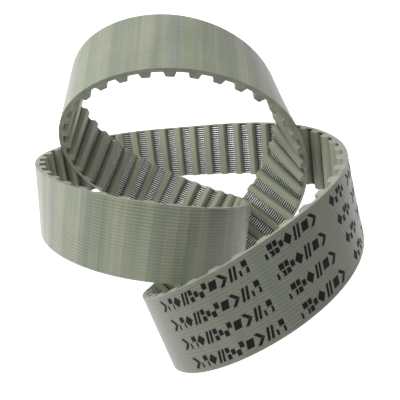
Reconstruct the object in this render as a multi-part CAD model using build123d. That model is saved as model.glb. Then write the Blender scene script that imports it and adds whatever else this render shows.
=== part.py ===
"""Endless T10 timing belt, 103 teeth and 32 mm wide, lying loose in a twisted ring that stands on its edge.

One moulded polyurethane body carries the back and the teeth, and 24 parallel steel cords run inside it.
Origin: on the floor, under the middle of the belt's outer box. +Z is up.
"""

from build123d import *
import math
import os

import numpy as np

# Belt section, mm. Heights count from the lands between the teeth, outward.
PITCH = 10.0
TEETH = 103
WIDTH = 32.0
BACK = 2.0
TOOTH_HEIGHT = 2.5
TOOTH_ROOT = 5.3
FLANK_DEG = 20.0
TOOTH_TIP = TOOTH_ROOT - 2 * TOOTH_HEIGHT * math.tan(math.radians(FLANK_DEG))
LENGTH = TEETH * PITCH

# Tension cords, laid side by side at the belt's neutral plane.
CORDS = 24
CORD_RADIUS = 0.3
CORD_HEIGHT = 1.0
CORD_EDGE = 0.67
CORD_STEP = PITCH / 2

# Groove across each land, where the mould's noses held the cords and left them bare.
NOSE_LENGTH = 4.1
NOSE_DEPTH = 1.0

# Finger joint that closes the ring: each cord is cut once, along a zigzag.
JOINT_AT = 86.5 * PITCH
JOINT_GAP = 1.0
FINGER_LENGTH = 20.0
FINGER_CORDS = 6

# How the belt lies: hand-picked control points of a closed cubic curve through the cords' mid-width,
# x, y and z in mm, then the lean of the belt's width in degrees, turned about its run away from RISE.
RISE = np.array([-0.28, 0.77, 0.57])
ROUTE = np.array([
    (34, 22, 107, 13), (-5, 17, 123, 19), (-46, 20, 111, 25), (-65, 32, 74, 22),
    (-53, 42, 36, 17), (-21, 47, 7, 14), (13, 25, 10, -47), (35, -5, 29, -20),
    (20, -36, 55, -29), (-21, -43, 67, -23), (-58, -25, 62, 0), (-79, 8, 47, 12),
    (-75, 45, 30, 26), (-43, 75, 19, 34), (-2, 68, 27, 12), (35, 62, 35, 23),
    (65, 38, 50, 13), (76, 1, 65, -7), (66, -37, 76, -13), (35, -65, 73, -12),
    (-1, -74, 51, -22), (-18, -51, 14, 2), (5, -19, -1, -55), (32, 12, 1, -19),
    (56, 30, 30, 5), (55, 27, 73, 3),
], float)


def route_at(t, slope=False):
    """Point and lean (or their slope) of the route, t counted in control points."""
    index = np.floor(t).astype(int)
    f = t - index
    if slope:
        weights = (-(1 - f) ** 2 / 2, (3 * f * f - 4 * f) / 2, (-3 * f * f + 2 * f + 1) / 2, f * f / 2)
    else:
        weights = (
            (1 - f) ** 3 / 6,
            (3 * f**3 - 6 * f**2 + 4) / 6,
            (-3 * f**3 + 3 * f**2 + 3 * f + 1) / 6,
            f**3 / 6,
        )
    return sum(w[:, None] * ROUTE[(index + k - 1) % len(ROUTE)] for k, w in enumerate(weights))


def unit(v):
    return v / np.linalg.norm(v, axis=-1, keepdims=True)


# Distance walked along the route, for even spacing of the teeth, and the scale that makes the ring fit them.
STEPS_PER_POINT = 260
WALK = np.linspace(0, len(ROUTE), STEPS_PER_POINT * len(ROUTE) + 1)
STEPS = np.linalg.norm(np.diff(route_at(WALK)[:, :3], axis=0), axis=1)
WALKED = np.concatenate([[0], np.cumsum(STEPS)])
SCALE = LENGTH / WALKED[-1]


def frames(s):
    """Place, run, outward and widthwise directions at distances s along the cords."""
    t = np.interp(np.asarray(s, float) % LENGTH / SCALE, WALKED, WALK)
    here = route_at(t)
    run = unit(route_at(t, slope=True)[:, :3])
    rise = unit(RISE - (run @ RISE)[:, None] * run)
    lean = np.radians(here[:, 3])[:, None]
    wide = rise * np.cos(lean) + np.cross(run, rise) * np.sin(lean)
    return here[:, :3] * SCALE - ORIGIN, run, np.cross(wide, run), wide


def point(s, across, height):
    """Belt point at s along, across from mid-width and height above the land."""
    place, _, out, wide = (v[0] for v in frames([s]))
    return place + across * wide + (height - CORD_HEIGHT) * out


def tip(tooth, end, across):
    """Corner of a tooth's flat tip. Each tooth keeps its own straight shape."""
    place, run, out, wide = (v[0] for v in frames([tooth * PITCH]))
    return place + end * TOOTH_TIP / 2 * run + across * wide - (CORD_HEIGHT + TOOTH_HEIGHT) * out


def floor_origin():
    """Middle of the belt's box on the floor, before it is moved to the origin."""
    corners = []
    for s in np.arange(0, LENGTH, PITCH / 4):
        corners += [point(s, side * WIDTH / 2, BACK) for side in (-1, 1)]
    for tooth in range(TEETH):
        corners += [tip(tooth, end, side * WIDTH / 2) for end in (-1, 1) for side in (-1, 1)]
    low, high = np.min(corners, axis=0), np.max(corners, axis=0)
    return np.array([(low[0] + high[0]) / 2, (low[1] + high[1]) / 2, low[2]])


ORIGIN = np.zeros(3)
ORIGIN = floor_origin()


def curve(s0, s1, across, height):
    """Edge along the belt, tangent to the pieces before and after it."""
    nudge = 0.01
    first, last = point(s0, across, height), point(s1, across, height)
    start = (point(s0 + nudge, across, height) - first) / nudge
    end = (last - point(s1 - nudge, across, height)) / nudge
    third = (s1 - s0) / 3
    return Edge.make_bezier(*(Vector(*p) for p in (first, first + start * third, last - end * third, last)))


def line(a, b):
    return Edge.make_line(Vector(*a), Vector(*b))


def sheet(edge_a, edge_b):
    return Face.make_surface_from_curves(edge_a, edge_b)


def pitch_faces(tooth):
    """Skin of one tooth and the land after it."""
    side = WIDTH / 2
    middle = tooth * PITCH
    root_a, root_b = middle - TOOTH_ROOT / 2, middle + TOOTH_ROOT / 2
    land_middle, land_end = middle + PITCH / 2, middle + PITCH - TOOTH_ROOT / 2
    nose_a, nose_b = land_middle - NOSE_LENGTH / 2, land_middle + NOSE_LENGTH / 2
    spans = [
        (root_a, root_b, 0),
        (root_b, nose_a, 0),
        (nose_a, nose_b, NOSE_DEPTH),
        (nose_b, land_end, 0),
    ]
    faces = []
    for s0, s1, under in spans:
        outer = [curve(s0, s1, across, BACK) for across in (-side, side)]
        inner = [curve(s0, s1, across, under) for across in (-side, side)]
        faces.append(sheet(outer[0], outer[1]))
        faces += [sheet(a, b) for a, b in zip(outer, inner)]
        if s0 != root_a:
            faces.append(sheet(inner[0], inner[1]))
    for s in (nose_a, nose_b):
        faces.append(sheet(*(line(point(s, -side, h), point(s, side, h)) for h in (0, NOSE_DEPTH))))
    tips = {end: [tip(tooth, end, across) for across in (-side, side)] for end in (-1, 1)}
    for end, s in ((-1, root_a), (1, root_b)):
        faces.append(sheet(line(point(s, -side, 0), point(s, side, 0)), line(*tips[end])))
    faces.append(sheet(line(*tips[-1]), line(*tips[1])))
    for k, across in enumerate((-side, side)):
        faces.append(sheet(curve(root_a, root_b, across, 0), line(tips[-1][k], tips[1][k])))
    return faces


def belt_body():
    """Back and teeth, moulded as one."""
    return Solid(Shell([face for tooth in range(TEETH) for face in pitch_faces(tooth)]))


def cord_cut(cord):
    """Where the zigzag of the finger joint cuts this cord."""
    wave = cord / FINGER_CORDS % 2
    return JOINT_AT + FINGER_LENGTH * min(wave, 2 - wave)


def cord(number):
    """One steel cord, from one side of its cut round to the other."""
    across = -WIDTH / 2 + CORD_EDGE + number * (WIDTH - 2 * CORD_EDGE) / (CORDS - 1)
    start = cord_cut(number) + JOINT_GAP / 2
    stations = np.linspace(start, start + LENGTH - JOINT_GAP, round(LENGTH / CORD_STEP))
    place, run, _, wide = frames(stations)
    rings = []
    for p, r, w in zip(place, run, wide):
        section = Plane(origin=Vector(*(p + across * w)), x_dir=Vector(*w), z_dir=Vector(*r))
        rings.append(Edge.make_circle(CORD_RADIUS, section))
    ends = [Face(Wire(ring)) for ring in (rings[0], rings[-1])]
    return Solid(Shell(ends + [sheet(a, b) for a, b in zip(rings, rings[1:])]))


os.makedirs("parts", exist_ok=True)
export_step(belt_body(), "parts/belt_body.step")
for number in range(CORDS):
    export_step(cord(number), f"parts/cord_{number + 1:02d}.step")
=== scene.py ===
"""Endless T10 timing belt, twisted into a standing ring: grey-green cast polyurethane over steel cords."""

import math

import bmesh
import bpy
import numpy as np
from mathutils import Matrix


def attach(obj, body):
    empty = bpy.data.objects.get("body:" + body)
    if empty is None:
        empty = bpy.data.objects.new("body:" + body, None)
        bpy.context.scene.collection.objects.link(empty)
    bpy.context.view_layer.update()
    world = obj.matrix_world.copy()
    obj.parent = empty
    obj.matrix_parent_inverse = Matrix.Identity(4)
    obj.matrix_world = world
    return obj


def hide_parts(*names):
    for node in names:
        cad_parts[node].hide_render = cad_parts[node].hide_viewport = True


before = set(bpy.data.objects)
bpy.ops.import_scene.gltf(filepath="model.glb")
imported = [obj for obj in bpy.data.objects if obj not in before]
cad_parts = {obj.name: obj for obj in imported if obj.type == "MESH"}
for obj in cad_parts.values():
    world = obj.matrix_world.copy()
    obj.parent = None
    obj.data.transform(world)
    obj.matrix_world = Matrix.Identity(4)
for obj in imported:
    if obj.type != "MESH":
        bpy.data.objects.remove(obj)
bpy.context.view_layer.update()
MM = 0.001

# Belt section in mm, as the CAD has it. Heights count from the lands between the teeth, outward.
PITCH = 10.0
TEETH = 103
WIDTH = 32.0
BACK = 2.0
TOOTH_HEIGHT = 2.5
TOOTH_ROOT = 5.3
FLANK_DEG = 20.0
TOOTH_TIP = TOOTH_ROOT - 2 * TOOTH_HEIGHT * math.tan(math.radians(FLANK_DEG))
LENGTH = TEETH * PITCH
CORDS = 24
CORD_RADIUS = 0.3
CORD_HEIGHT = 1.0
CORD_EDGE = 0.67
CORD_SPACING = (WIDTH - 2 * CORD_EDGE) / (CORDS - 1)

# Moulding detail that only shows here.
TIP_FILLET = 0.45
ROOT_FILLET = 0.12
RIM = 0.12
NOSE_LENGTH = 4.5
NOSE_WALL = 0.08
NOSE_EDGE = 0.25
FLOOR_AT_CORD = 0.95
FLOOR_BETWEEN = 1.35
FILLET_STEPS = 4
BACK_COLUMNS = 13

# The route of the cords' mid-width, repeated from the CAD: x, y, z in mm and the lean in degrees.
RISE = np.array([-0.28, 0.77, 0.57])
ROUTE = np.array([
    (34, 22, 107, 13), (-5, 17, 123, 19), (-46, 20, 111, 25), (-65, 32, 74, 22),
    (-53, 42, 36, 17), (-21, 47, 7, 14), (13, 25, 10, -47), (35, -5, 29, -20),
    (20, -36, 55, -29), (-21, -43, 67, -23), (-58, -25, 62, 0), (-79, 8, 47, 12),
    (-75, 45, 30, 26), (-43, 75, 19, 34), (-2, 68, 27, 12), (35, 62, 35, 23),
    (65, 38, 50, 13), (76, 1, 65, -7), (66, -37, 76, -13), (35, -65, 73, -12),
    (-1, -74, 51, -22), (-18, -51, 14, 2), (5, -19, -1, -55), (32, 12, 1, -19),
    (56, 30, 30, 5), (55, 27, 73, 3),
], float)


# ---------------------------------------------------------------- the belt's line


def route_at(t, slope=False):
    """Point and lean (or their slope) of the route, t counted in control points."""
    index = np.floor(t).astype(int)
    f = t - index
    if slope:
        weights = (-(1 - f) ** 2 / 2, (3 * f * f - 4 * f) / 2, (-3 * f * f + 2 * f + 1) / 2, f * f / 2)
    else:
        weights = (
            (1 - f) ** 3 / 6,
            (3 * f**3 - 6 * f**2 + 4) / 6,
            (-3 * f**3 + 3 * f**2 + 3 * f + 1) / 6,
            f**3 / 6,
        )
    return sum(w[:, None] * ROUTE[(index + k - 1) % len(ROUTE)] for k, w in enumerate(weights))


def unit(v):
    return v / np.linalg.norm(v, axis=-1, keepdims=True)


# Distance walked along the route, for even spacing of the teeth, and the scale that makes the ring fit them.
STEPS_PER_POINT = 260
WALK = np.linspace(0, len(ROUTE), STEPS_PER_POINT * len(ROUTE) + 1)
STEPS = np.linalg.norm(np.diff(route_at(WALK)[:, :3], axis=0), axis=1)
WALKED = np.concatenate([[0], np.cumsum(STEPS)])
SCALE = LENGTH / WALKED[-1]


def frames(s):
    """Place, run, outward and widthwise directions at distances s along the cords, in mm."""
    t = np.interp(np.asarray(s, float) % LENGTH / SCALE, WALKED, WALK)
    here = route_at(t)
    run = unit(route_at(t, slope=True)[:, :3])
    rise = unit(RISE - (run @ RISE)[:, None] * run)
    lean = np.radians(here[:, 3])[:, None]
    wide = rise * np.cos(lean) + np.cross(run, rise) * np.sin(lean)
    return here[:, :3] * SCALE - ORIGIN, run, np.cross(wide, run), wide


def belt_grid(s, across, height):
    """Points at distances s, across and height from the land; all three broadcast to one grid."""
    s, across, height = np.broadcast_arrays(s, across, height)
    shape = s.shape
    s, across, height = (a.ravel() for a in (s, across, height))
    place, _, out, wide = frames(s)
    soft = place + across[:, None] * wide + (height - CORD_HEIGHT)[:, None] * out
    tooth = np.round(s / PITCH)
    place, run, out, wide = frames(tooth * PITCH)
    along = (s - tooth * PITCH)[:, None]
    rigid = place + along * run + across[:, None] * wide + (height - CORD_HEIGHT)[:, None] * out
    stiff = np.clip(-height / TOOTH_HEIGHT, 0, 1)[:, None]
    return (soft * (1 - stiff) + rigid * stiff).reshape(*shape, 3)


def floor_origin():
    """Middle of the belt's box on the floor, before it is moved to the origin."""
    sides = np.array([-WIDTH / 2, WIDTH / 2])
    back = belt_grid(np.arange(0, LENGTH, PITCH / 4)[:, None], sides, BACK)
    ends = (np.arange(TEETH)[:, None] * PITCH + np.array([-1, 1]) * TOOTH_TIP / 2).reshape(-1, 1)
    tips = belt_grid(ends, sides, -TOOTH_HEIGHT)
    corners = np.vstack([back.reshape(-1, 3), tips.reshape(-1, 3)])
    low, high = corners.min(axis=0), corners.max(axis=0)
    return np.array([(low[0] + high[0]) / 2, (low[1] + high[1]) / 2, low[2]])


ORIGIN = np.zeros(3)
ORIGIN = floor_origin()


# ---------------------------------------------------------------- shared mesh helpers


def mesh_object(name, points, quads, uvs, slots, materials, sharp_deg=40):
    """Object from grid points in mm, quads of point numbers, a UV for each quad corner and slot numbers."""
    mesh = bpy.data.meshes.new(name)
    mesh.vertices.add(len(points))
    mesh.vertices.foreach_set("co", (np.asarray(points) * MM).ravel())
    quads = np.asarray(quads, dtype=np.int32)
    mesh.loops.add(quads.size)
    mesh.loops.foreach_set("vertex_index", quads.ravel())
    mesh.polygons.add(len(quads))
    mesh.polygons.foreach_set("loop_start", np.arange(0, quads.size, 4, dtype=np.int32))
    mesh.polygons.foreach_set("material_index", np.asarray(slots, dtype=np.int32))
    layer = mesh.uv_layers.new(name="belt")
    layer.data.foreach_set("uv", np.asarray(uvs, dtype=np.float32).ravel())
    for material in materials:
        mesh.materials.append(material)
    mesh.update(calc_edges=True)
    mesh.validate()
    mesh.shade_smooth()
    mesh.set_sharp_from_angle(angle=math.radians(sharp_deg))
    piece = bpy.data.objects.new(name, mesh)
    bpy.context.scene.collection.objects.link(piece)
    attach(piece, "root")
    return piece


def closed_strip(rows, columns, first, flip):
    """Quads of a grid whose rows close into a ring and whose columns don't."""
    i, j = np.meshgrid(np.arange(rows), np.arange(columns - 1), indexing="ij")
    i, j = i.ravel(), j.ravel()
    nxt = (i + 1) % rows
    corners = [i * columns + j, nxt * columns + j, nxt * columns + j + 1, i * columns + j + 1]
    if flip:
        corners.reverse()
    return np.stack(corners, axis=1) + first, i, j


# ---------------------------------------------------------------- belt body


def rounded(corners, radii, steps):
    """Outline through corners, with each inner corner replaced by an arc."""
    out = [corners[0]]
    for a, b, c, radius in zip(corners, corners[1:], corners[2:], radii):
        a, b, c = (np.array(p, float) for p in (a, b, c))
        u, v = (a - b) / np.linalg.norm(a - b), (c - b) / np.linalg.norm(c - b)
        half = math.acos(np.clip(u @ v, -1, 1)) / 2
        reach = radius / math.tan(half)
        middle = b + (u + v) / np.linalg.norm(u + v) * radius / math.sin(half)
        start, end = b + u * reach - middle, b + v * reach - middle
        for k in range(steps + 1):
            f = k / steps
            arm = start * (1 - f) + end * f
            out.append(tuple(middle + arm / np.linalg.norm(arm) * radius))
    return out + [corners[-1]]


def underside():
    """One pitch of the toothed side from land middle to land middle: along, height and nose share."""
    half = PITCH / 2
    outline = rounded(
        [(-half, 0), (-TOOTH_ROOT / 2, 0), (-TOOTH_TIP / 2, -TOOTH_HEIGHT),
         (TOOTH_TIP / 2, -TOOTH_HEIGHT), (TOOTH_ROOT / 2, 0), (half, 0)],
        [ROOT_FILLET, TIP_FILLET, TIP_FILLET, ROOT_FILLET], FILLET_STEPS)
    outline = outline[1:-1]
    middle = len(outline) // 2
    outline.insert(middle, (0.0, -TOOTH_HEIGHT))
    edge = half - NOSE_LENGTH / 2
    before = [(-half, 0, 1), (-edge - NOSE_WALL, 0, 1), (-edge, 0, 0)]
    after = [(edge, 0, 0), (edge + NOSE_WALL, 0, 1)]
    return np.array(before + [(x, h, 0) for x, h in outline] + after, float)


def inset(profile, by):
    """The profile moved into the rubber along its own normals, for the narrow rim at the side faces."""
    line = profile[:, :2]
    ahead = np.roll(line, -1, axis=0) - line
    ahead[-1, 0] += PITCH
    behind = np.roll(ahead, 1, axis=0)
    normal = unit(unit(ahead) + unit(behind))
    return line + by * np.stack([-normal[:, 1], normal[:, 0]], axis=1)


# Across one cord spacing: share of the way to the next cord, and depth. The rubber grips each cord's flanks.
GROOVE = ((0.26, FLOOR_AT_CORD), (0.32, FLOOR_BETWEEN), (0.68, FLOOR_BETWEEN), (0.74, FLOOR_AT_CORD))


def cord_columns():
    """Positions across the land, and how deep the nose floor lies at each."""
    edge = -WIDTH / 2 + NOSE_EDGE
    columns = [(-WIDTH / 2 + RIM, 0.0), (edge, 0.0), (edge + 0.05, FLOOR_AT_CORD)]
    for k in range(CORDS):
        at = -WIDTH / 2 + CORD_EDGE + k * CORD_SPACING
        columns.append((at, FLOOR_AT_CORD))
        if k < CORDS - 1:
            columns += [(at + CORD_SPACING * share, depth) for share, depth in GROOVE]
    mirrored = [(-x, depth) for x, depth in reversed(columns[:3])]
    return np.array(columns + mirrored)


def belt_body(materials):
    """Back, side faces and toothed side as one closed skin."""
    profile = underside()
    rim = inset(profile, RIM)
    per_pitch = len(profile)
    teeth = np.repeat(np.arange(TEETH) * PITCH, per_pitch)
    along = np.tile(profile[:, 0], TEETH) + teeth
    height = np.tile(profile[:, 1], TEETH)
    nose = np.tile(profile[:, 2], TEETH)
    rows = len(along)
    columns = cord_columns()
    lower = belt_grid(along[:, None], columns[:, 0], height[:, None] + nose[:, None] * columns[:, 1])
    rim_along = (np.tile(rim[:, 0], TEETH) + teeth)[:, None]
    rim_height = np.tile(rim[:, 1], TEETH)[:, None]
    rims = belt_grid(rim_along, np.array([-WIDTH / 2, WIDTH / 2]), rim_height)
    edge = WIDTH / 2 - RIM
    back_columns = np.concatenate([[-WIDTH / 2], np.linspace(-edge, edge, BACK_COLUMNS), [WIDTH / 2]])
    back_height = np.where(np.abs(back_columns) < WIDTH / 2, BACK, BACK - RIM)
    upper = belt_grid(along[:, None], back_columns, back_height)

    under_columns = np.concatenate([[-WIDTH / 2], columns[:, 0], [WIDTH / 2]])
    under = np.concatenate([rims[:, :1], lower, rims[:, 1:]], axis=1)
    points = np.vstack([under.reshape(-1, 3), upper.reshape(-1, 3)])
    under_count, upper_count = len(under_columns), len(back_columns)
    first_upper = rows * under_count

    quads, slots, uvs = [], [], []

    def corner_uvs(i, j, across, flip):
        here = along[i] / PITCH
        ahead = np.where(i + 1 < rows, along[(i + 1) % rows], along[0] + LENGTH) / PITCH
        low, high = across[j] / WIDTH + 0.5, across[j + 1] / WIDTH + 0.5
        corners = [(here, low), (ahead, low), (ahead, high), (here, high)]
        if flip:
            corners.reverse()
        return np.stack([np.stack(c, axis=1) for c in corners], axis=1)

    faces, i, j = closed_strip(rows, under_count, 0, flip=True)
    quads.append(faces)
    uvs.append(corner_uvs(i, j, under_columns, True))
    depth = np.concatenate([[0], columns[:, 1], [0]])
    in_nose = nose[i] + nose[(i + 1) % rows] > 0
    between_cords = depth[j] + depth[j + 1] > 2 * FLOOR_AT_CORD
    # Slot 2, the groove floors between the cords, is coloured near-black as painted shade.
    slots.append(np.where(in_nose & between_cords, 2, 1))

    faces, i, j = closed_strip(rows, upper_count, first_upper, flip=False)
    quads.append(faces)
    uvs.append(corner_uvs(i, j, back_columns, False))
    slots.append(np.zeros(len(faces)))

    ring = np.arange(rows)
    ahead = (ring + 1) % rows
    for under_edge, upper_edge, flip in ((0, 0, False), (under_count - 1, upper_count - 1, True)):
        corners = [
            ring * under_count + under_edge,
            ahead * under_count + under_edge,
            ahead * upper_count + upper_edge + first_upper,
            ring * upper_count + upper_edge + first_upper,
        ]
        if flip:
            corners.reverse()
        quads.append(np.stack(corners, axis=1))
        slots.append(np.full(rows, 3))
        here, beyond = along / PITCH, np.append(along[1:], along[0] + LENGTH) / PITCH
        level = np.zeros(rows)
        pairs = [(here, level), (beyond, level), (beyond, level + 1), (here, level + 1)]
        if flip:
            pairs.reverse()
        uvs.append(np.stack([np.stack(c, axis=1) for c in pairs], axis=1))
    quads, uvs, slots = np.vstack(quads), np.vstack(uvs), np.concatenate(slots)
    body = mesh_object("belt_body_skin", points, quads, uvs, slots, materials)
    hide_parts("belt_body")


# ---------------------------------------------------------------- cords

CORD_SIDES = 10
CORD_STATION = 2.5
JOINT_AT = 86.5 * PITCH
JOINT_GAP = 1.0
FINGER_LENGTH = 20.0
FINGER_CORDS = 6


def cord(number, material):
    """One steel cord between its two cut ends, seen where the noses left it bare."""
    across = -WIDTH / 2 + CORD_EDGE + number * CORD_SPACING
    wave = number / FINGER_CORDS % 2
    start = JOINT_AT + FINGER_LENGTH * min(wave, 2 - wave) + JOINT_GAP / 2
    stations = np.linspace(start, start + LENGTH - JOINT_GAP, round(LENGTH / CORD_STATION))
    place, _, out, wide = frames(stations)
    turn = np.arange(CORD_SIDES + 1) * 2 * math.pi / CORD_SIDES
    around = CORD_RADIUS * (
        np.cos(turn)[None, :, None] * wide[:, None] + np.sin(turn)[None, :, None] * out[:, None]
    )
    points = ((place + across * wide)[:, None] + around)[:, :-1].reshape(-1, 3)
    i, j = np.meshgrid(np.arange(len(stations) - 1), np.arange(CORD_SIDES), indexing="ij")
    i, j = i.ravel(), j.ravel()
    nxt = (j + 1) % CORD_SIDES
    quads = np.stack([
        i * CORD_SIDES + j, i * CORD_SIDES + nxt, (i + 1) * CORD_SIDES + nxt, (i + 1) * CORD_SIDES + j
    ], axis=1)
    here, ahead = stations[i] / PITCH, stations[i + 1] / PITCH
    low, high = j / CORD_SIDES, (j + 1) / CORD_SIDES
    corners = [(here, low), (here, high), (ahead, high), (ahead, low)]
    uvs = np.stack([np.stack(c, axis=1) for c in corners], axis=1)
    name = f"cord_{number + 1:02d}"
    piece = mesh_object(name + "_strand", points, quads, uvs, np.zeros(len(quads)), [material], 80)
    caps = bmesh.new()
    caps.from_mesh(piece.data)
    caps.edges.ensure_lookup_table()
    bmesh.ops.holes_fill(caps, edges=[e for e in caps.edges if e.is_boundary], sides=CORD_SIDES)
    caps.to_mesh(piece.data)
    caps.free()
    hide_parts(name)


# ---------------------------------------------------------------- printed marks

INK_ABOVE = 0.02
INK_BELOW = 0.06
MARK_STEP = 3.9
MARK_LENGTH = 3.6
MARK_HEIGHT = 4.5
MARK_SLANT = 0.18
MARK_ROWS = 4
ROW_SPACING = 8.0

# Each mark is a few four-cornered strokes in a unit box.
MARKS = {
    "chevron": [[(0, 1), (0.44, 1), (1, 0.51), (0.55, 0.51)], [(0, 0), (0.55, 0.49), (1, 0.49), (0.44, 0)]],
    "diamond": [[(0, 0.5), (0.5, 1), (1, 0.5), (0.5, 0)]],
    "checks": [[(0, 0), (0, 0.48), (0.49, 0.48), (0.49, 0)], [(0.51, 0.52), (0.51, 1), (1, 1), (1, 0.52)]],
    "block": [[(0, 0.15), (0.2, 0.85), (1, 0.85), (0.8, 0.15)]],
    "waves": [[(0, 0), (0.3, 1), (0.58, 1), (0.28, 0)], [(0.44, 0), (0.74, 1), (1, 1), (0.72, 0)]],
    "steps": [[(0, 0), (0, 0.44), (1, 0.44), (1, 0)], [(0.45, 0.54), (0.45, 1), (1, 1), (1, 0.54)]],
    "dots": [
        [(0, 0), (0, 0.42), (0.44, 0.42), (0.44, 0)],
        [(0, 0.56), (0, 1), (0.44, 1), (0.44, 0.56)],
        [(0.56, 0.26), (0.56, 0.72), (1, 0.72), (1, 0.26)],
    ],
}
# Groups of marks, by the tooth number where each group starts; they run towards lower numbers.
GROUPS = [
    (79.8, ["chevron", "steps", "diamond", "waves", "dots", "checks", "block", "chevron", "waves", "steps"]),
    (75.3, ["steps", "dots", "diamond", "waves", "block", "chevron"]),
    (72.2, ["diamond", "checks", "dots"]),
    (70.6, ["chevron", "diamond", "steps", "waves"]),
    (68.6, ["dots", "block", "chevron"]),
]


def stroke_box(stroke, start, base, first):
    """Thin box of one stroke: its points, and its quads with the points counted from first."""
    s = np.array([start - (x + MARK_SLANT * y) * MARK_LENGTH for x, y in stroke])
    across = np.array([base + y * MARK_HEIGHT for _, y in stroke])
    points = np.vstack([belt_grid(s, across, level) for level in (BACK - INK_BELOW, BACK + INK_ABOVE)])
    low, high = [first + n for n in range(4)], [first + 4 + n for n in range(4)]
    sides = [[low[n - 1], high[n - 1], high[n], low[n]] for n in range(4)]
    return list(points), [low, high[::-1]] + sides


def printed_marks(material):
    """Black marks in rows on the smooth side, as thin raised strokes."""
    points, quads = [], []
    for row in range(MARK_ROWS):
        base = ((MARK_ROWS - 1) / 2 - row) * ROW_SPACING - MARK_HEIGHT / 2
        for group_start, names in GROUPS:
            for k, name in enumerate(names):
                for stroke in MARKS[name]:
                    start = group_start * PITCH - k * MARK_STEP
                    corners, faces = stroke_box(stroke, start, base, len(points))
                    points += corners
                    quads += faces
    uvs = np.zeros((len(quads), 4, 2))
    piece = mesh_object("printed_marks", points, quads, uvs, np.zeros(len(quads)), [material], 30)
    tidy = bmesh.new()
    tidy.from_mesh(piece.data)
    bmesh.ops.recalc_face_normals(tidy, faces=tidy.faces)
    tidy.to_mesh(piece.data)
    tidy.free()


# ---------------------------------------------------------------- materials


class Shader:
    """A material with its principled shader, and short calls that add nodes and give back their outputs."""

    def __init__(self, name, roughness, subsurface=0.0, metallic=0.0):
        self.material = bpy.data.materials.new(name)
        self.material.use_nodes = True
        self.tree = self.material.node_tree
        self.main = self.tree.nodes["Principled BSDF"]
        self.main.inputs["Roughness"].default_value = roughness
        self.main.inputs["Metallic"].default_value = metallic
        self.main.inputs["Subsurface Weight"].default_value = subsurface
        self.main.inputs["Subsurface Radius"].default_value = (1.0, 1.05, 0.8)
        self.main.inputs["Subsurface Scale"].default_value = 1.5 * MM
        self.main.inputs["IOR"].default_value = 1.5
        where = self.tree.nodes.new("ShaderNodeUVMap")
        where.uv_map = "belt"
        split = self.tree.nodes.new("ShaderNodeSeparateXYZ")
        self.tree.links.new(where.outputs[0], split.inputs[0])
        self.along, self.across = split.outputs[0], split.outputs[1]

    def put(self, socket, value):
        if isinstance(value, bpy.types.NodeSocket):
            self.tree.links.new(value, socket)
        else:
            socket.default_value = value

    def calc(self, operation, a, b=0.0):
        node = self.tree.nodes.new("ShaderNodeMath")
        node.operation = operation
        self.put(node.inputs[0], a)
        self.put(node.inputs[1], b)
        return node.outputs[0]

    def span(self, value, low, high, to_low=0.0, to_high=1.0):
        node = self.tree.nodes.new("ShaderNodeMapRange")
        node.interpolation_type = "SMOOTHSTEP"
        for socket, v in zip(node.inputs, (value, low, high, to_low, to_high)):
            self.put(socket, v)
        return node.outputs[0]

    def mix(self, share, a, b):
        node = self.tree.nodes.new("ShaderNodeMix")
        node.data_type = "RGBA"
        self.put(node.inputs[0], share)
        self.put(node.inputs[6], a)
        self.put(node.inputs[7], b)
        return node.outputs[2]

    def noise(self, scale, detail=3.0, stretch=None):
        """Fractal noise in space, or over the belt's length and width if stretch is given."""
        node = self.tree.nodes.new("ShaderNodeTexNoise")
        node.inputs["Scale"].default_value = scale
        node.inputs["Detail"].default_value = detail
        if stretch:
            join = self.tree.nodes.new("ShaderNodeCombineXYZ")
            self.put(join.inputs[0], self.calc("MULTIPLY", self.along, stretch[0]))
            self.put(join.inputs[1], self.calc("MULTIPLY", self.across, stretch[1]))
            self.tree.links.new(join.outputs[0], node.inputs["Vector"])
        else:
            place = self.tree.nodes.new("ShaderNodeTexCoord")
            self.tree.links.new(place.outputs["Object"], node.inputs["Vector"])
        return node.outputs["Fac"]

    def from_tooth(self):
        """Distance from the middle of the nearest tooth, in pitches."""
        shifted = self.calc("FRACT", self.calc("ADD", self.along, 0.5))
        return self.calc("ABSOLUTE", self.calc("SUBTRACT", shifted, 0.5))

    def per_tooth(self):
        """A random number from 0 to 1 for each tooth."""
        node = self.tree.nodes.new("ShaderNodeTexWhiteNoise")
        node.noise_dimensions = "1D"
        self.put(node.inputs["W"], self.calc("FLOOR", self.calc("ADD", self.along, 0.5)))
        return node.outputs["Value"]

    def cord_wave(self):
        """1 over each cord and 0 midway between two."""
        from_first = self.calc("SUBTRACT", self.calc("MULTIPLY", self.across, WIDTH), CORD_EDGE)
        angle = self.calc("MULTIPLY", from_first, 2 * math.pi / CORD_SPACING)
        return self.span(self.calc("COSINE", angle), -1.0, 1.0)

    def bump(self, height, distance):
        """Fine relief in the surface's normals, distance in mm."""
        node = self.tree.nodes.new("ShaderNodeBump")
        node.inputs["Distance"].default_value = distance * MM
        self.put(node.inputs["Height"], height)
        self.tree.links.new(node.outputs[0], self.main.inputs["Normal"])

    def colour(self, value):
        self.put(self.main.inputs["Base Color"], value)


# Tones of the polyurethane. The deep tone also serves as painted shade in the tooth roots, the bright tone
# is painted light on the tooth tips, and the last tone is painted shade that dulls its printed stretch.
PALE = (0.42, 0.435, 0.325, 1)
MILKY = (0.50, 0.505, 0.40, 1)
COOL = (0.29, 0.33, 0.275, 1)
MAUVE = (0.33, 0.31, 0.27, 1)
SAGE = (0.21, 0.245, 0.145, 1)
DEEP_LINES_AND_SHADE = (0.08, 0.10, 0.06, 1)
PAINTED_TIP_LIGHT = (0.63, 0.65, 0.49, 1)
PAINTED_SHADE_TONE = (0.13, 0.138, 0.112, 1)

# The printed stretch of the back, darkened with painted shade: its middle, its half length and how softly it
# ends, in pitches.
SHADED_PRINT_MIDDLE = 76.0
SHADED_PRINT_REACH = 10.5
SHADED_PRINT_FADE = 1.5


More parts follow.
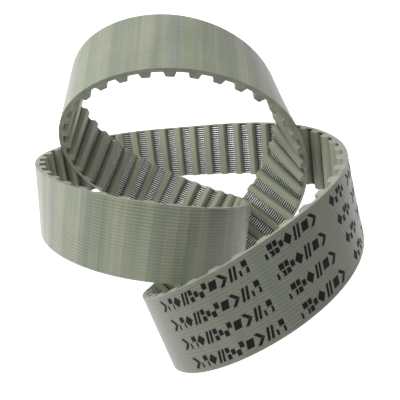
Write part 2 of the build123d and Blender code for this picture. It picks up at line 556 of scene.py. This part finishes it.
def back_rubber():
    """Smooth side: cords and tooth flanks show through it as faint lines, and its printed stretch is
    darkened with painted shade.
    """
    sh = Shader("polyurethane_back", 0.36, subsurface=0.15)
    streaks = sh.noise(1.0, 3.0, stretch=(1.7, 0.25))
    colour = sh.mix(sh.span(streaks, 0.35, 0.62), COOL, PALE)
    tints = sh.noise(1.0, 2.0, stretch=(0.9, 0.2))
    colour = sh.mix(sh.span(tints, 0.5, 0.68, 0.0, 0.6), colour, MAUVE)
    colour = sh.mix(sh.calc("MULTIPLY", sh.per_tooth(), 0.4), colour, SAGE)
    fine = sh.span(sh.noise(1.0, 4.0, stretch=(9.0, 0.6)), 0.5, 0.68, 0.0, 0.3)
    colour = sh.mix(fine, colour, SAGE)
    d = sh.from_tooth()
    colour = sh.mix(sh.span(d, 0.25, 0.31, 0.0, 0.2), colour, SAGE)
    for at, share, tint in ((TOOTH_ROOT / 2 / PITCH, 0.4, DEEP_LINES_AND_SHADE), (TOOTH_TIP / 2 / PITCH, 0.3, MILKY)):
        line = sh.span(sh.calc("ABSOLUTE", sh.calc("SUBTRACT", d, at)), 0.0, 0.022, 1.0, 0.0)
        shown = sh.span(sh.noise(1.0, 1.0, stretch=(0.5, 0.8)), 0.35, 0.65)
        colour = sh.mix(sh.calc("MULTIPLY", sh.calc("MULTIPLY", line, share), shown), colour, tint)
    wave = sh.cord_wave()
    faint = sh.span(sh.noise(1.0, 2.0, stretch=(0.3, 1.2)), 0.35, 0.65, 0.1, 0.6)
    from_shaded_print = sh.calc("ABSOLUTE", sh.calc("SUBTRACT", sh.along, SHADED_PRINT_MIDDLE))
    fade = (SHADED_PRINT_REACH - SHADED_PRINT_FADE, SHADED_PRINT_REACH + SHADED_PRINT_FADE)
    faint = sh.calc("MULTIPLY", faint, sh.span(from_shaded_print, *fade, 1.0, 0.6))
    colour = sh.mix(sh.calc("MULTIPLY", sh.calc("SUBTRACT", 1.0, wave), faint), colour, DEEP_LINES_AND_SHADE)
    # Painted shade: the printed stretch is darkened.
    colour = sh.mix(sh.span(from_shaded_print, *fade, 0.6, 0.0), colour, PAINTED_SHADE_TONE)
    sh.colour(colour)
    sh.bump(sh.calc("ADD", wave, sh.noise(900, 2.0)), 0.05)
    return sh.material


def tooth_rubber():
    """Toothed side: painted shade darkens the flanks' roots and painted light brightens the tooth tips, and
    no two teeth are quite alike.
    """
    sh = Shader("polyurethane_teeth", 0.4, subsurface=0.15)
    d = sh.from_tooth()
    colour = sh.mix(sh.noise(160, 4.0), COOL, PALE)
    # Painted light: the tooth tips are lightened.
    tip_light = sh.span(d, 0.15, 0.28, 1.0, 0.0)
    colour = sh.mix(sh.calc("MULTIPLY", tip_light, 0.6), colour, PAINTED_TIP_LIGHT)
    tints = sh.noise(1.0, 2.0, stretch=(0.9, 0.4))
    colour = sh.mix(sh.span(tints, 0.45, 0.65, 0.0, 0.5), colour, MILKY)
    colour = sh.mix(sh.calc("MULTIPLY", sh.per_tooth(), 0.3), colour, SAGE)
    # Painted shade: a dark line in the crease at each tooth root.
    root = sh.span(sh.calc("ABSOLUTE", sh.calc("SUBTRACT", d, TOOTH_ROOT / 2 / PITCH)), 0.0, 0.03, 1.0, 0.0)
    colour = sh.mix(sh.calc("MULTIPLY", root, 0.45), colour, DEEP_LINES_AND_SHADE)
    sh.colour(colour)
    sh.bump(sh.noise(700, 3.0), 0.04)
    return sh.material


def nose_pit():
    """Floor of the grooves between the cords, coloured near-black as painted deep shade."""
    sh = Shader("pits_painted_shade", 0.7)
    sh.colour(sh.mix(sh.noise(500, 2.0), (0.004, 0.005, 0.004, 1), (0.02, 0.024, 0.018, 1)))
    return sh.material


def cut_side():
    """Slit side faces: cloudy, much like the back, with fine knife lines along the belt."""
    sh = Shader("polyurethane_sides", 0.5, subsurface=0.15)
    colour = sh.mix(sh.span(sh.noise(220, 4.0), 0.35, 0.65), COOL, PALE)
    knife = sh.span(sh.noise(1.0, 3.0, stretch=(0.6, 7.0)), 0.45, 0.7, 0.0, 0.4)
    sh.colour(sh.mix(knife, colour, SAGE))
    sh.bump(sh.noise(1.0, 2.0, stretch=(1.5, 40)), 0.05)
    return sh.material


def strand_steel():
    """Zinc-bright strands laid round each cord in a slant."""
    sh = Shader("cord_steel", 0.3, metallic=0.8)
    lay = sh.calc("ADD", sh.calc("MULTIPLY", sh.along, 7.0), sh.calc("MULTIPLY", sh.across, 7.0))
    wave = sh.span(sh.calc("SINE", sh.calc("MULTIPLY", lay, 2 * math.pi)), -1.0, 1.0)
    sh.colour(sh.mix(wave, (0.82, 0.84, 0.82, 1), (1, 1, 1, 1)))
    sh.bump(wave, 0.03)
    return sh.material


def black_ink():
    """Jet-printed ink, thinner in places."""
    sh = Shader("black_ink", 0.6)
    sh.main.inputs["Specular IOR Level"].default_value = 0.15
    thin = sh.span(sh.noise(900, 3.0), 0.55, 0.75)
    sh.colour(sh.mix(sh.calc("MULTIPLY", thin, 0.3), (0.002, 0.002, 0.002, 1), (0.03, 0.03, 0.03, 1)))
    sh.bump(sh.noise(1500, 2.0), 0.02)
    return sh.material


def plain_white():
    """Pale floor that stays bright, so shadows on it are faint."""
    sh = Shader("pale_floor", 0.9)
    sh.colour(sh.mix(sh.noise(3.0, 1.0), (0.88, 0.88, 0.88, 1), (0.9, 0.9, 0.9, 1)))
    sh.main.inputs["Emission Color"].default_value = (1, 1, 1, 1)
    sh.main.inputs["Emission Strength"].default_value = FLOOR_GLOW
    return sh.material


# ---------------------------------------------------------------- stage, light and camera


AMBIENT = 0.34
FLOOR_REACH = 6.0
FLOOR_GLOW = 0.8
KEY_AT = (-0.78, -0.1, 0.95)
KEY_AIM = (0, 0, 0.05)
KEY_SIZE = 0.9
KEY_WATTS = 12
EYE = (0.00645, -0.1332, 0.17875)
LOOK_DOWN_DEG = 44.27
FOCAL_MM = 33.75
SENSOR_MM = 36


def floor():
    """Square floor, which sends no light back up onto the belt."""
    mesh = bpy.data.meshes.new("floor")
    r = FLOOR_REACH
    corners = [(-r, -r, 0), (r, -r, 0), (r, r, 0), (-r, r, 0)]
    mesh.from_pydata(corners, [], [(0, 1, 2, 3)])
    mesh.materials.append(plain_white())
    mesh.uv_layers.new(name="belt")
    piece = bpy.data.objects.new("floor", mesh)
    piece.visible_diffuse = False
    bpy.context.scene.collection.objects.link(piece)


def studio():
    """Even dim light from all round, with a white backdrop where the camera or a glossy surface sees it."""
    world = bpy.data.worlds.new("studio")
    bpy.context.scene.world = world
    world.use_nodes = True
    tree = world.node_tree
    path = tree.nodes.new("ShaderNodeLightPath")
    seen = tree.nodes.new("ShaderNodeMath")
    seen.operation = "MAXIMUM"
    tree.links.new(path.outputs["Is Camera Ray"], seen.inputs[0])
    tree.links.new(path.outputs["Is Glossy Ray"], seen.inputs[1])
    level = tree.nodes.new("ShaderNodeMapRange")
    level.inputs["To Min"].default_value = AMBIENT
    level.inputs["To Max"].default_value = 1.0
    tree.links.new(seen.outputs[0], level.inputs["Value"])
    background = tree.nodes["Background"]
    background.inputs["Color"].default_value = (1, 1, 1, 1)
    tree.links.new(level.outputs[0], background.inputs["Strength"])


def area_light(name, at, aim, size, watts):
    light = bpy.data.lights.new(name, "AREA")
    light.size = size
    light.energy = watts
    lamp = bpy.data.objects.new(name, light)
    lamp.location = at
    way = np.array(aim) - np.array(at)
    flat = math.hypot(way[0], way[1])
    lamp.rotation_euler = (math.atan2(flat, -way[2]), 0, math.atan2(way[1], way[0]) - math.pi / 2)
    bpy.context.scene.collection.objects.link(lamp)


def camera():
    """Above and in front of the belt, looking down onto it."""
    lens = bpy.data.cameras.new("camera")
    lens.sensor_width = SENSOR_MM
    lens.lens = FOCAL_MM
    lens.clip_start = 0.01
    eye = bpy.data.objects.new("camera", lens)
    eye.location = EYE
    eye.rotation_euler = (math.radians(90 - LOOK_DOWN_DEG), 0, 0)
    bpy.context.scene.collection.objects.link(eye)
    bpy.context.scene.camera = eye


belt_body([back_rubber(), tooth_rubber(), nose_pit(), cut_side()])
steel = strand_steel()
for number in range(CORDS):
    cord(number, steel)
printed_marks(black_ink())
floor()
area_light("key", KEY_AT, KEY_AIM, KEY_SIZE, KEY_WATTS)
studio()
camera()
bpy.context.scene.view_settings.view_transform = "Standard"
